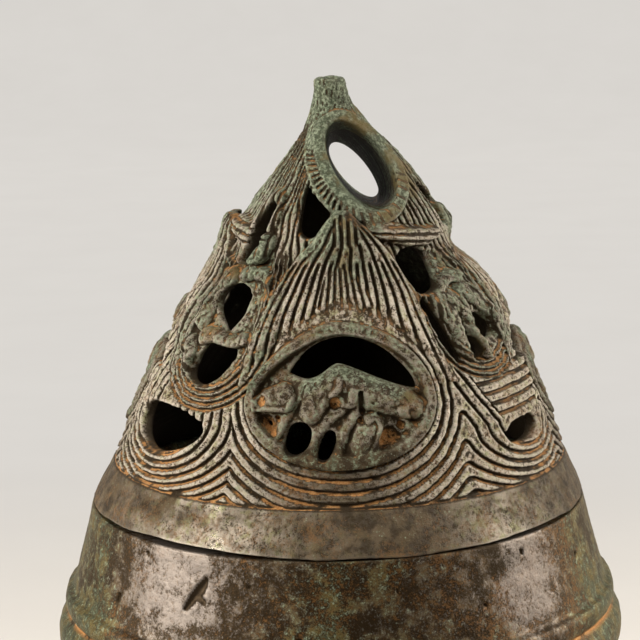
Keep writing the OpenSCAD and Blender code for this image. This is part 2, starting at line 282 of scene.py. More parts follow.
def ellipse_number(centre, width, height, more_width, more_height, upper=1.0, shoulder=2.0):
    """Number of the ellipse through each place, in a family that grows evenly from number 0.
    Widths are in degrees, the upper half is drawn out by 1 / upper, and a shoulder below 2
    straightens the upper left quarter."""
    u = (ANGLE - centre[0] + 180.0) % 360.0 - 180.0
    z = HEIGHT - centre[1]
    power = np.where((u < 0) & (z > 0), shoulder, 2.0).astype(np.float32)
    u = np.abs(u)
    z = np.where(z > 0, z * upper, -z)
    low = np.full(u.shape, -3.5, np.float32)
    high = np.full(u.shape, 14.0, np.float32)
    for _ in range(14):
        k = 0.5 * (low + high)
        outside = (u / (width + k * more_width)) ** power + (z / (height + k * more_height)) ** power > 1.0
        low = np.where(outside, k, low)
        high = np.where(outside, high, k)
    return 0.5 * (low + high)


def cup_number(centre, width, height, more_width, more_height, lean):
    """Number in a family of cups: half ellipses below the centre, with straight sides above it
    that lean outwards by lean degrees for each millimetre."""
    below = ellipse_number(centre, width, height, more_width, more_height)
    u = np.abs((ANGLE - centre[0] + 180.0) % 360.0 - 180.0)
    z = HEIGHT - centre[1]
    return np.where(z > 0, (u - lean * z - width) / more_width, below)


def grooves(number, width, depth):
    """Grooves cut wherever number is whole."""
    by_z = np.gradient(number, CELL, axis=0)
    by_x = np.gradient(number, axis=1) * COLUMNS / 360.0 / (DEGREE * RADIUS)
    away = np.abs(number - np.round(number)) / np.maximum(np.hypot(by_x, by_z), 1e-3)
    return -depth * fall(0.2 * width, 0.8 * width, away)


def laid_over(under, layer, cover):
    return under + (layer - under) * cover


# Camera
def add_camera():
    place = Vector((0.0, -math.cos(CAMERA_ELEVATION), math.sin(CAMERA_ELEVATION))) * CAMERA_DISTANCE
    forward = -place.normalized()
    right = Vector((1.0, 0.0, 0.0))
    up = right.cross(forward)
    aim = Matrix((right, up, forward))
    aside = math.atan2(RIM_CENTRE_PX[0] - IMAGE_PX / 2, FOCAL_PX)
    below = math.atan2(RIM_CENTRE_PX[1] - IMAGE_PX / 2, FOCAL_PX)
    pan = Matrix.Rotation(aside, 3, "Y")
    tilt = Matrix.Rotation(below, 3, "X")
    roll = Matrix.Rotation(-CAMERA_ROLL, 3, "Z")
    right, up, forward = roll @ tilt @ pan @ aim
    data = bpy.data.cameras.new("camera")
    data.sensor_width = SENSOR_MM
    data.lens = FOCAL_PX * SENSOR_MM / IMAGE_PX
    data.clip_start = 0.01
    camera = bpy.data.objects.new("camera", data)
    turn = Matrix((right, up, -forward)).transposed().to_4x4()
    camera.matrix_world = Matrix.Translation((place + Vector((0, 0, RIM_Z))) * MM) @ turn
    bpy.context.scene.collection.objects.link(camera)
    bpy.context.scene.camera = camera


# Materials: shine, linear colours, and where the paper turns into an even backdrop
SHINE_LEVEL = 0.3
WARM_SHINE = (1.0, 0.82, 0.58, 1)
BLACK_BRONZE_AND_SHADE = (0.016, 0.009, 0.003, 1)
BROWN_BRONZE = (0.075, 0.051, 0.026, 1)
BURNISHED_BRONZE = (0.170, 0.146, 0.128, 1)
WORN_BRONZE = (0.560, 0.490, 0.400, 1)
POLISHED_EDGE_AND_GLINT = (0.880, 0.810, 0.690, 1)
WORN_OLIVE = (0.440, 0.430, 0.250, 1)
WORN_BROWN = (0.460, 0.340, 0.240, 1)
RUST = (0.190, 0.090, 0.030, 1)
PALE_PATINA = (0.260, 0.320, 0.220, 1)
DEEP_PATINA = (0.045, 0.068, 0.042, 1)
OLIVE_PATINA = (0.110, 0.090, 0.030, 1)
EARTH = (0.420, 0.180, 0.050, 1)
PALE_EARTH = (0.540, 0.310, 0.130, 1)
SOOT_AND_SHADE = (0.030, 0.021, 0.012, 1)
IRON_BLACK = (0.035, 0.022, 0.016, 1)
IRON_BROWN = (0.200, 0.075, 0.030, 1)
IRON_RUST = (0.320, 0.150, 0.060, 1)
PAPER = (0.660, 0.635, 0.600, 1)
PALE_PAPER = (0.700, 0.675, 0.640, 1)
PAPER_NEAR = 180.0
PAPER_FAR = 600.0


class Finish:
    """One material's nodes, with a short call for each kind of node."""

    def __init__(self, name):
        self.material = bpy.data.materials.new(name)
        self.material.use_nodes = True
        self.nodes = self.material.node_tree.nodes
        self.links = self.material.node_tree.links
        self.shader = self.nodes["Principled BSDF"]
        self.place = self.nodes.new("ShaderNodeTexCoord").outputs["Object"]

    def set(self, socket, value):
        if isinstance(value, bpy.types.NodeSocket):
            self.links.new(value, socket)
        else:
            socket.default_value = value

    def node(self, kind, inputs, **settings):
        """Outputs of a new node with these settings, and values or links in its inputs."""
        node = self.nodes.new("ShaderNode" + kind)
        for key, value in settings.items():
            setattr(node, key, value)
        for key, value in inputs.items():
            self.set(node.inputs[key], value)
        return node.outputs

    def noise(self, size, detail=5.0, rough=0.6, twist=0.0):
        """Cloudy noise whose patches are about size millimetres across."""
        inputs = {"Vector": self.place, "Scale": 1.0 / (size * MM), "Detail": detail}
        return self.node("TexNoise", inputs | {"Roughness": rough, "Distortion": twist})["Fac"]

    def attribute(self, name):
        return self.node("Attribute", {}, attribute_name=name)["Fac"]

    def upward(self):
        """How far the surface faces up, from -1 to 1."""
        return self.node("SeparateXYZ", {0: self.node("NewGeometry", {})["Normal"]})["Z"]

    def math(self, operation, a, b):
        return self.node("Math", {0: a, 1: b}, operation=operation)[0]

    def plus(self, first, *others):
        for other in others:
            first = self.math("ADD", first, other)
        return first

    def times(self, first, *others):
        for other in others:
            first = self.math("MULTIPLY", first, other)
        return first

    def minus(self, a, b):
        return self.math("SUBTRACT", a, b)

    def larger(self, a, b):
        return self.math("MAXIMUM", a, b)

    def rise(self, value, low, high):
        """Smooth rise from 0 at low to 1 at high."""
        inputs = {"Value": value, "From Min": low, "From Max": high}
        return self.node("MapRange", inputs, interpolation_type="SMOOTHSTEP")["Result"]

    def mix(self, part, a, b):
        """Mix of two colours."""
        return self.node("Mix", {0: part, 6: a, 7: b}, data_type="RGBA")[2]

    def blend(self, part, a, b):
        """Mix of two numbers."""
        return self.node("Mix", {0: part, 2: a, 3: b})[0]

    def bump(self, height, depth):
        inputs = {"Strength": 1.0, "Distance": depth * MM, "Height": height}
        self.set(self.shader.inputs["Normal"], self.node("Bump", inputs)["Normal"])

    def done(self, colour, metal, rough):
        self.set(self.shader.inputs["Base Color"], colour)
        self.set(self.shader.inputs["Metallic"], metal)
        self.set(self.shader.inputs["Roughness"], rough)
        self.set(self.shader.inputs["Specular IOR Level"], SHINE_LEVEL)
        self.set(self.shader.inputs["Specular Tint"], WARM_SHINE)
        return self.material


def carved_bronze():
    """Worn grey ridges over black bronze, with specks of green and rust, and earth in the grooves. Grooves
    and hollows are painted near black as shade. The sharpest crests are pale, part polish and part painted
    glint. The inside and the walls of the holes are dark, part soot and part painted shade.
    """
    f = Finish("carved_bronze")
    hollow, groove_and_shade, patina, earth, wear_sheen_and_shade, plain, inside = (
        f.attribute(name) for name in ("hollow", "groove_and_shade", "patina", "earth", "wear_sheen_and_shade", "plain", "inside")
    )
    cloud = f.noise(8.0, 4.0)
    mottle = f.noise(2.6, 6.0, 0.62)
    grain = f.noise(0.7, 6.0, 0.7)
    fine = f.noise(0.28, 3.0, 0.7)
    tint = f.noise(1.8, 4.0, 0.65)

    colour = f.mix(f.rise(mottle, 0.40, 0.62), BLACK_BRONZE_AND_SHADE, BROWN_BRONZE)
    speck = f.plus(grain, fine, f.times(mottle, 0.5))
    # Crests and the plain band are lighter, part wear and part painted highlight. The wear chart also holds
    # painted highlights on the band and painted shade below the arches.
    edge = f.plus(f.times(f.rise(hollow, -0.05, -0.40), 0.10), f.times(plain, 0.10))
    crest = f.times(f.rise(hollow, 0.16, -0.06), wear_sheen_and_shade)
    worn_part = f.times(f.rise(f.plus(speck, edge), 1.13, 1.36), crest)
    worn_tone = f.mix(f.rise(tint, 0.48, 0.62), WORN_BRONZE, WORN_OLIVE)
    worn_tone = f.mix(f.rise(tint, 0.44, 0.34), worn_tone, WORN_BROWN)
    # The sharpest crests turn pale, part polish and part painted glint.
    worn_tone = f.mix(f.times(f.rise(hollow, -0.20, -0.60), 0.6), worn_tone, POLISHED_EDGE_AND_GLINT)
    colour = f.mix(worn_part, colour, worn_tone)
    rust_part = f.rise(f.plus(f.minus(cloud, grain), f.times(fine, 0.8)), 0.46, 0.66)
    colour = f.mix(f.times(rust_part, 0.5), colour, RUST)

    green_tone = f.mix(f.rise(grain, 0.44, 0.64), DEEP_PATINA, PALE_PATINA)
    green_tone = f.mix(f.rise(cloud, 0.52, 0.64), green_tone, OLIVE_PATINA)
    green_part = f.plus(patina, f.times(f.minus(mottle, 0.5), 1.2), f.minus(f.plus(grain, fine), 1.0))
    green_part = f.rise(green_part, 0.30, 0.52)
    colour = f.mix(f.times(green_part, 0.8), colour, green_tone)

    # Painted shade: grooves, hollows and the waves below the arches go near black.
    sunk = f.larger(groove_and_shade, f.rise(hollow, 0.03, 0.38))
    colour = f.mix(f.times(f.rise(sunk, 0.10, 0.55), 0.94), colour, BLACK_BRONZE_AND_SHADE)
    earth_tone = f.mix(f.rise(fine, 0.42, 0.62), EARTH, PALE_EARTH)
    earth_part = f.rise(f.plus(cloud, f.times(mottle, 0.8)), 0.78, 0.95)
    earth_part = f.times(earth_part, earth, f.rise(sunk, 0.42, 0.80), f.rise(f.upward(), 0.45, 0.80))
    filled = f.times(f.rise(earth, 1.0, 1.45), f.rise(f.plus(grain, mottle), 0.84, 1.08))
    colour = f.mix(f.larger(earth_part, filled), colour, earth_tone)
    # Inside and the walls of the holes go dark, part soot and part painted shade.
    colour = f.mix(f.times(inside, 0.96), colour, SOOT_AND_SHADE)

    covered = f.larger(green_part, f.rise(sunk, 0.1, 0.5))
    bare = f.times(worn_part, f.minus(1.0, covered))
    f.bump(f.plus(grain, f.times(fine, 0.6)), 0.40)
    return f.done(colour, f.times(bare, 0.80), f.blend(bare, 0.60, 0.27))


def smooth_bronze(name, green_amount):
    """Dark bronze with rusty specks and cloudy green patina, burnished grey where the metal is bare and
    where a highlight is painted on. A piece may carry charts of its bare metal with painted highlights, of
    its patina, and of its grooves, which go near black, with the earth in them."""
    f = Finish(name)
    clean_and_sheen, groove_and_shade, patina, earth = (f.attribute(key) for key in ("clean_and_sheen", "groove_and_shade", "patina", "earth"))
    cloud = f.noise(15.0, 5.0, 0.6, 0.3)
    mottle = f.noise(3.2, 6.0, 0.62)
    grain = f.noise(0.75, 6.0, 0.7)
    fine = f.noise(0.30, 3.0, 0.7)

    colour = f.mix(f.rise(mottle, 0.46, 0.66), BLACK_BRONZE_AND_SHADE, BROWN_BRONZE)
    speck = f.plus(grain, f.times(fine, 0.6), f.times(mottle, 0.6))
    # Bare burnished metal, partly a painted highlight where the softboxes reflect on the bowl.
    clean_and_sheen = f.rise(f.plus(clean_and_sheen, f.minus(f.plus(cloud, mottle), 1.0)), 0.15, 0.95)
    worn_part = f.rise(f.plus(speck, f.times(clean_and_sheen, 0.26)), 1.06, 1.42)
    colour = f.mix(f.times(worn_part, 0.92), colour, BURNISHED_BRONZE)
    rust_part = f.rise(f.plus(f.minus(cloud, grain), f.times(fine, 0.8)), 0.44, 0.62)
    rust_part = f.times(rust_part, f.minus(0.5, f.times(clean_and_sheen, 0.4)))
    colour = f.mix(rust_part, colour, RUST)

    green_tone = f.mix(f.rise(mottle, 0.44, 0.58), DEEP_PATINA, OLIVE_PATINA)
    green_tone = f.mix(f.times(f.rise(grain, 0.52, 0.66), 0.8), green_tone, PALE_PATINA)
    green_part = f.plus(patina, f.times(f.minus(cloud, 0.5), 1.1), f.times(f.minus(mottle, 0.5), 1.2))
    green_part = f.plus(green_part, f.minus(f.plus(grain, fine), 1.0))
    green_part = f.minus(green_part, f.times(clean_and_sheen, 0.25))
    green_part = f.rise(green_part, 0.26 - green_amount, 0.60 - green_amount)
    colour = f.mix(f.times(green_part, 0.85), colour, green_tone)
    pocks = f.times(green_part, f.rise(fine, 0.52, 0.40))
    colour = f.mix(f.times(pocks, 0.85), colour, BLACK_BRONZE_AND_SHADE)

    colour = f.mix(f.times(f.rise(groove_and_shade, 0.10, 0.55), 0.94), colour, BLACK_BRONZE_AND_SHADE)
    earth_tone = f.mix(f.rise(fine, 0.42, 0.62), EARTH, PALE_EARTH)
    colour = f.mix(f.times(earth, f.rise(mottle, 0.36, 0.52)), colour, earth_tone)

    bare = f.times(worn_part, f.minus(1.0, green_part))
    f.bump(f.plus(f.times(mottle, 0.4), f.plus(grain, f.times(fine, 0.5))), 0.10)
    return f.done(colour, f.blend(bare, 0.50, 0.80), f.blend(bare, 0.48, 0.40))


def rusty_iron():
    f = Finish("rusty_iron")
    mottle = f.noise(2.2, 6.0, 0.65)
    grain = f.noise(0.5, 5.0, 0.65)
    colour = f.mix(f.rise(mottle, 0.38, 0.62), IRON_BLACK, IRON_BROWN)
    colour = f.mix(f.times(f.rise(grain, 0.55, 0.7), 0.6), colour, IRON_RUST)
    f.bump(f.plus(mottle, grain), 0.3)
    return f.done(colour, 0.15, 0.82)


def pale_paper():
    """Pale paper. Away from the piece it keeps one even tone for the camera and in reflections."""
    f = Finish("pale_paper")
    tone = f.mix(f.noise(60.0, 3.0), PAPER, PALE_PAPER)
    path = f.node("LightPath", {})
    seen = f.larger(path["Is Camera Ray"], path["Is Glossy Ray"])
    seen = f.larger(seen, path["Is Transmission Ray"])
    away = f.node("VectorMath", {0: f.place}, operation="LENGTH")["Value"]
    even = f.times(seen, f.rise(away, PAPER_NEAR * MM, PAPER_FAR * MM))
    f.set(f.shader.inputs["Emission Color"], tone)
    f.set(f.shader.inputs["Emission Strength"], even)
    return f.done(f.mix(even, tone, (0, 0, 0, 1)), 0.0, 0.85)


# Meshes
def new_mesh(name, points_m, faces, material):
    """Object from points and a list of face arrays, each with one count of corners."""
    mesh = bpy.data.meshes.new(name)
    mesh.vertices.add(len(points_m))
    mesh.vertices.foreach_set("co", points_m.astype(np.float32).ravel())
    corners = np.concatenate([f.ravel() for f in faces]).astype(np.int32)
    counts = np.concatenate([np.full(len(f), f.shape[1]) for f in faces])
    starts = np.concatenate([[0], np.cumsum(counts)[:-1]]).astype(np.int32)
    mesh.loops.add(len(corners))
    mesh.loops.foreach_set("vertex_index", corners)
    mesh.polygons.add(len(counts))
    mesh.polygons.foreach_set("loop_start", starts)
    mesh.update(calc_edges=True)
    mesh.validate()
    mesh.shade_smooth()
    mesh.materials.append(material)
    piece = bpy.data.objects.new(name, mesh)
    bpy.context.scene.collection.objects.link(piece)
    return piece


def add_attribute(piece, name, values):
    layer = piece.data.attributes.new(name, "FLOAT", "POINT")
    layer.data.foreach_set("value", np.asarray(values, np.float32))


def face_edges(faces):
    """Edges of the faces, each once, as pairs of points."""
    pairs = np.concatenate([np.stack([f, np.roll(f, -1, axis=1)], -1).reshape(-1, 2) for f in faces])
    return np.unique(np.sort(pairs, axis=1), axis=0)


def joined_labels(count, edges):
    """For each point, the lowest point that it is joined to."""
    label = np.arange(count)
    while True:
        low = np.minimum(label[edges[:, 0]], label[edges[:, 1]])
        new = label.copy()
        np.minimum.at(new, label[edges[:, 0]], low)
        np.minimum.at(new, label[edges[:, 1]], low)
        new = new[new]
        if (new == label).all():
            return label
        label = new


def spread(values, edges, rounds):
    """Values evened out along the edges."""
    count = len(values)
    a, b = edges.T
    uses = np.maximum(np.bincount(edges.ravel(), minlength=count), 1)
    for _ in range(rounds):
        total = [np.bincount(a, v[b], count) + np.bincount(b, v[a], count) for v in values.T]
        values = 0.5 * values + 0.5 * (np.stack(total, 1) / uses[:, None])
    return values


def hollowness(piece, points, edges, rounds, unit):
    """How far each point lies below the mean of its surroundings: above 0 in grooves."""
    normals = np.zeros(len(points) * 3, np.float32)
    piece.data.vertices.foreach_get("normal", normals)
    sunk = ((spread(points, edges, rounds) - points) * normals.reshape(-1, 3)).sum(1)
    return np.clip(sunk / unit, -1.0, 1.0)


# Holes in the lid: angle and height of points round each, drawn at the front arch and beside it
CRESCENT = [
    (-14, 30), (-10, 33), (-4, 34.9), (3, 35.6), (10, 35), (17, 33), (23, 29.4), (24.5, 26.9),
    (22, 26.9), (16, 28.1), (8, 30), (2, 31.2), (-1, 30.9), (-5, 29.4), (-9, 28.8), (-13, 29.4),
]
BEAST_HOLES = [
    [(-13.8, 18.6), (-12.6, 21.2), (-9.2, 21.8), (-6.6, 20.4), (-7.6, 17.8), (-10.4, 16.5), (-13, 16.9)],
    [(-4.9, 16.2), (-4.2, 18.6), (-2.4, 20.4), (-0.4, 20.3), (-0.2, 18.4), (-1.8, 16.2), (-3.4, 15.6)],
]
TIP_HOLE = [
    (-20.5, 59.4), (-14, 58.6), (-8, 57.3), (-1, 55.2), (-5, 53), (-11, 51.2), (-17, 51.4), (-20.5, 53.5),
]
RIGHT_HOLE = [(31, 47.6), (35, 48.8), (42, 49), (48, 47.5), (47.5, 44), (44, 41.9), (36, 41.3), (32.5, 44)]
LEFT_LOW_HOLE = [
    (-69, 19.8), (-66, 21.6), (-57, 22.1), (-48, 21.8), (-41, 20.7), (-38.3, 19.3),
    (-40.5, 17.3), (-47, 15.2), (-56, 13.9), (-64, 15.1), (-68.3, 17.6),
]
RIGHT_LOW_HOLE = [
    (49.4, 16.6), (52, 18), (58, 18.6), (64, 18.4), (66, 17), (63, 15.2), (57, 14.4), (51.5, 14.8),
]
LEFT_POCKET_HOLES = [
    [
        (-51.6, 29.2), (-49, 32.7), (-42, 33.2), (-35.6, 32.9),
        (-34.6, 31), (-39.6, 27.6), (-45.2, 26.2), (-50.2, 27),
    ],
    [
        (-54, 40.4), (-51.6, 42.4), (-45, 42.8), (-37.6, 41.6),
        (-36.6, 38.6), (-40.6, 35.4), (-45.6, 36.6), (-51.6, 38.6),
    ],
    [(-64.5, 38.5), (-63.5, 42.6), (-61.2, 43.6), (-60, 41), (-61, 37.6), (-63, 36.4)],
]
LENS_HOLE = [(-48.6, 52.6), (-46.6, 56), (-42, 57), (-39, 55.8), (-39.4, 52), (-44.6, 47.4), (-48.6, 46.8)]
RIGHT_POCKET_HOLES = [
    [(33.8, 39.6), (35.4, 41), (37.6, 38.6), (39.4, 35), (41, 31), (40, 29.4), (37.2, 31.4), (34.6, 35.8)],
    [(45.6, 32), (47.6, 33.7), (50, 33), (51, 31), (49.4, 29.4), (46.6, 29.8)],
]
ROCK_HOLE = [(51.4, 34.4), (54, 36.2), (58, 36.9), (62, 35.8), (63, 33.8), (59, 32.4), (54, 32.6)]

# Leaf of rock over the arch: height and angle of its edges, areas with lines of their own, and its lean
CURTAIN_LEFT = [(26, -30.5), (30, -30), (36, -29), (42, -26), (47, -20), (51, -10), (54, -4), (56.4, 2.5)]
CURTAIN_RIGHT = [
    (26, 38), (28, 37), (32, 35), (38, 33), (44, 32), (48, 28), (52, 20), (54, 14.5), (56.4, 8),
]
CURTAIN_FOOT = 27.0
CURTAIN_TOP = 56.2
CURTAIN_LINES = 18
CURTAIN_BULGE = 0.9
FAN = [(-6, 40.2), (-5, 43.5), (-1, 46.2), (4, 46.6), (10, 44.6), (14.5, 40.4), (4, 39.8)]
FRINGE = [(0.5, 50.6), (1, 54.6), (6, 55.4), (12, 53.4), (12.5, 50.8), (6, 50.2)]
LEAF_FROM = 41.0
LEAF_LEANS = {FRONT_ARCH: 4.0, RIGHT_ARCH: 0.3, BACK_ARCH: 4.0, LEFT_ARCH: 3.8}
LEAF_TOPS = {FRONT_ARCH: 56.2, RIGHT_ARCH: 54.4, BACK_ARCH: 56.2, LEFT_ARCH: 53.8}
LEAF_THICK = 2.2
LEAF_REACH = 7.5
RIGHT_NOTCH_Z = 47.0

# Beast that walks to the left: ridges of angle, height and half width
BEAST_BODY = [
    [(0, 27.8, 3.2), (10, 26.8, 3.0), (18, 25, 2.7), (22.4, 23.6, 1.9)],
    [(-1, 28.2, 2.6), (-5, 26.2, 2.6), (-7, 23.6, 2.1)],
    [(-15, 25.8, 2.4), (-19.6, 25.2, 1.8), (-22.6, 24.6, 1.2)],
    [(8.6, 20.4, 2.6), (6.4, 18.2, 2.0)],
]
BEAST_RIDGES = [
    [(-6.9, 29.4, 1.0), (-9.8, 27, 1.0), (-13.5, 23.2, 1.0), (-15.6, 20.4, 1.0), (-17.6, 17.8, 0.9)],
    [(1.3, 24.8, 1.3), (-2.6, 22.2, 1.2), (-6, 19.6, 1.0), (-7.2, 16.2, 0.9)],
    [(5.6, 23.4, 1.0), (2.4, 20.6, 1.0), (0.8, 17.2, 0.9)],
    [(1.1, 28.9, 0.6), (0.8, 27.6, 0.6), (-1.2, 26.6, 0.6)],
    [(5, 27, 0.9), (4, 25, 0.9), (0, 23, 0.8)],
    [(8.4, 22.4, 0.7), (10.6, 23, 0.7), (12, 21.6, 0.7), (10.6, 18.4, 0.8), (8.6, 16.6, 0.8)],
    [(17.6, 23.6, 0.9), (19.8, 20.8, 0.9), (21.6, 17.8, 0.8)],
    [(-22.4, 23.4, 0.7), (-19.6, 23.8, 0.8), (-14.6, 24, 0.7)],
]
BEAST_BACK = [(-9, 27.4, 1.1), (-0.5, 30.8, 1.3), (11, 28.4, 1.3), (20, 25.8, 1.1)]
BEAST_SLIT = [(7, 26.8, 0.5), (7.2, 23.6, 0.6)]
BEAST_PITS = [
    (-21.2, 25.3, 0.9), (-0.2, 25.2, 1.2), (-19.2, 20.8, 2.2), (13.8, 18.8, 2.3),
    (-16.4, 22.2, 0.7), (17.6, 21, 0.8), (6.6, 22.2, 0.7),
]

# Rocks in the valleys left and right of the arch
LEFT_ROCKS = [
    [(-50, 34.2, 1.6), (-45, 34.6, 1.3), (-38, 33.8, 1.2), (-32, 34.6, 1.0)],
    [(-46, 44.4, 1.2), (-40, 45.2, 1.3), (-33, 44.8, 1.2), (-29, 43.6, 1.0)],
    [(-54.6, 36.2, 1.6), (-57, 40.6, 1.5), (-54, 44, 1.4)],
    [(-59, 31, 1.3), (-56, 33, 1.2), (-53.6, 31.6, 1.0), (-54, 28.6, 1.0), (-57.4, 28.6, 1.0)],
    [(-42.4, 47.2, 1.5), (-39, 48.6, 1.7), (-35, 50.6, 1.3)],
    [
        (-50.6, 47, 1.1), (-50.4, 52, 1.1), (-47.4, 57.4, 1.1),
        (-41, 58, 1.1), (-37.6, 56, 1.0), (-36.8, 51.6, 0.9),
    ],
    [(-61, 34, 1.2), (-61.4, 40, 1.2), (-61, 46, 1.1)],
]
RIGHT_ROCKS = [
    [(41.6, 40.6, 1.6), (44, 37, 1.7), (43.6, 33, 1.4), (43.4, 29.8, 1.2)],
    [(46, 40.2, 1.6), (51, 38.6, 1.6), (50, 35.4, 1.3), (52.4, 30.6, 1.2)],
    [(55, 41, 1.5), (61, 39.8, 1.6), (66, 36.6, 1.4), (66.6, 32.6, 1.1)],
    [(38, 41.4, 1.0), (46, 42.2, 1.2), (54, 43.4, 1.2), (60, 43, 1.1)],
]
GREEN_ROCK = LEFT_ROCKS[4]
EAVE = [(18, 52.8, 1.3), (28, 52, 1.6), (40, 51, 1.7), (50, 50.6, 1.5), (57, 51.2, 1.1)]

# Heights and depths of the carving, and width and depth of its grooves
RING_RISE = 0.7
FIELD_DEPTH = 1.1
BEAST_RISE = 1.7
BEAST_LINE_RISE = 0.75
PIT_DEPTH = 1.2
SLIT_DEPTH = 0.9
POCKET_DEPTH = 1.2
ROCK_RISE = 1.7
UPPER_ROCK_RISE = 1.4
EAVE_RISE = 2.0
NOTCH_DEPTH = 1.4
LEAF_NOTCH_DEPTH = 2.6
PEAK_LINES = 84.0
PEAK_GROOVE = (0.5, 0.6)
WAVE_GROOVE = (0.62, 0.8)
POCKET_GROOVE = (0.6, 0.7)
LEAF_GROOVE = (0.52, 0.8)
CREST_GROOVE = (0.5, 0.7)
FAN_GROOVE = (0.42, 0.5)
EAVE_GROOVE = (0.45, 0.5)
ROPE_GROOVE = (0.42, 0.6)
FULL_GROOVE = 0.6

# Oval eye through the tip: a funnel that narrows from front to back, with its rim.
# Each pair is the value at the front and at the back.
EYE_Y = (-10.0, 8.0)
EYE_X = (5.4, 4.35)
EYE_Z = (64.0, 59.4)
EYE_SHORT = (5.2, 2.7)
EYE_LONG = (9.3, 7.0)
EYE_TILT = (30.0 * DEGREE, 36.0 * DEGREE)
EYE_RIM = 2.2
EYE_RIM_RISE = 0.9
EYE_FOOT = 48.0
ROPE_STROKES = 46


def eye_distance(x, y, z):
    """Distance from the eye's funnel, below 0 in it, and the angle round it."""
    part = np.clip((y - EYE_Y[0]) / (EYE_Y[1] - EYE_Y[0]), 0.0, 1.0)
    x_at, z_at, short_half, long_half, tilt = (
        ends[0] + part * (ends[1] - ends[0]) for ends in (EYE_X, EYE_Z, EYE_SHORT, EYE_LONG, EYE_TILT)
    )
    across, up = x - x_at, z - z_at
    short = across * np.cos(tilt) + up * np.sin(tilt)
    long = up * np.cos(tilt) - across * np.sin(tilt)
    near = np.hypot(short / short_half, long / long_half)
    steep = np.hypot(short / short_half**2, long / long_half**2)
    return near * (near - 1.0) / np.maximum(steep, 1e-3), np.arctan2(long, short)


def lid_windows():
    """Distance from the nearest hole's edge, below 0 in a hole. From the camera no hole at the back
    is in line with one at the front, so that they all look dark."""
    crescent, tip, lens, rock, right_low = (
        outline_distance(points) for points in (CRESCENT, TIP_HOLE, LENS_HOLE, ROCK_HOLE, RIGHT_LOW_HOLE)
    )
    feet = np.minimum(*(outline_distance(points) for points in BEAST_HOLES))
    front = [RIGHT_HOLE, LEFT_LOW_HOLE] + LEFT_POCKET_HOLES + RIGHT_POCKET_HOLES
    holes = [outline_distance(points) for points in front]
    holes += [at_arch(crescent, angle) for angle in ARCHES]
    holes += [turned(tip, angle) for angle in ARCHES]
    holes += [at_arch(feet, angle) for angle in ARCHES if angle != BACK_ARCH]
    holes += [turned(lens, turn) for turn in (0.0, 179.5)]
    holes += [turned(rock, turn) for turn in (0.0, 75.0, -184.0)]
    holes += [turned(right_low, turn) for turn in (0.0, 78.5)]
    return np.minimum.reduce(holes)


def arch_relief(arch_number):
    """Raised ring, sunk field and beast inside the front arch, what they cover, and the pits."""
    ring = RING_RISE * step(-1.15, -0.95, arch_number) * fall(-0.1, 0.05, arch_number)
    field = -FIELD_DEPTH * fall(-1.4, -1.0, arch_number)
    body = ridges(BEAST_BODY, BEAST_RISE, 0.6) + ridges(BEAST_RIDGES, BEAST_LINE_RISE, 0.8)
    pits = ridges([boss(*pit) for pit in BEAST_PITS], 1.0)
    inside = fall(-1.2, -0.9, arch_number)
    form = ring + field + (body - PIT_DEPTH * pits - ridge(BEAST_SLIT, SLIT_DEPTH)) * inside
    return form, fall(0.0, 0.12, arch_number), pits * inside


def pocket_relief(number, rocks, lines):
    """Sunk pocket of rocks, lines that hang in a U round it, and what they cover."""
    cut = grooves(number, *POCKET_GROOVE) * step(-0.4, 0.0, number)
    sunk = -POCKET_DEPTH * fall(-0.9, 0.2, number)
    form = sunk + ridges(rocks, ROCK_RISE) * fall(-0.2, 1.2, number)
    cover = fall(lines - 0.2, lines + 0.2, number)
    return form, cut, cover * fall(46.0, 50.0, HEIGHT)


def curtain(arch_number):
    """Leaf of rock over the front arch: distance from its edge, bulge, grooves and share of its lean."""
    left = smooth_curve(CURTAIN_LEFT, row_z)[:, None].astype(np.float32)
    right = smooth_curve(CURTAIN_RIGHT, row_z)[:, None].astype(np.float32)
    sides = []
    for side in ((ANGLE - left) * DEGREE * RADIUS, (right - ANGLE) * DEGREE * RADIUS):
        sides.append(side / np.hypot(1.0, np.gradient(side, CELL, axis=0)))
    from_ring = (arch_number - 0.95) * 1.75
    within = np.minimum.reduce([*sides, CURTAIN_TOP - HEIGHT, HEIGHT - CURTAIN_FOOT, from_ring])

    number = CURTAIN_LINES * (ANGLE - left) / np.maximum(right - left, 1.0)
    fine_lines = grooves(number, *LEAF_GROOVE)
    cut = laid_over(fine_lines, grooves(0.5 * number, *CREST_GROOVE), step(46.5, 48.0, HEIGHT))
    lined = step(1.0, 1.6, sides[0]) + fall(46, 49, HEIGHT)
    cut = cut * np.clip(lined, 0, 1)
    fan_number = (ANGLE - 3.0) / (2.1 + 0.12 * (46.0 - HEIGHT))
    fan = fall(-0.3, 0.3, outline_distance(FAN))
    cut = laid_over(cut, grooves(fan_number, *FAN_GROOVE) - 0.1, fan)
    fringe = fall(-0.3, 0.3, outline_distance(FRINGE))
    cut = laid_over(cut, grooves((ANGLE - 1.0) / 3.2, *CREST_GROOVE), fringe)
    bulge = CURTAIN_BULGE * step(0.0, 3.0, within)
    lean = (np.clip(HEIGHT - LEAF_FROM, 0, None) / (CURTAIN_TOP - LEAF_FROM)) ** 1.6
    return -within, bulge, cut, lean


def wave_number(arch_number):
    """Number of the wave through each place: waves hang round the arches and the low holes."""
    waves = np.minimum.reduce([beside(arch_number, angle) for angle in ARCHES])
    left_low = ellipse_number((-56.0, 21.0), 17.0, 7.5, 3.3, 1.25, 0.6) - 0.8
    right_low = cup_number((60.0, 19.0), 10.5, 4.9, 4.2, 1.35, 1.0) + 0.65
    above_hole = 0.5 - np.clip((HEIGHT - 19.4) / 1.9, 0.0, 6.0)
    right_low = np.where(right_low < 0.5, above_hole, right_low)
    waves = np.minimum(waves, left_low)
    for angle in RIGHT_LOWS:
        waves = soft_min(waves, turned(right_low, angle - RIGHT_LOW), 0.9)
    return waves


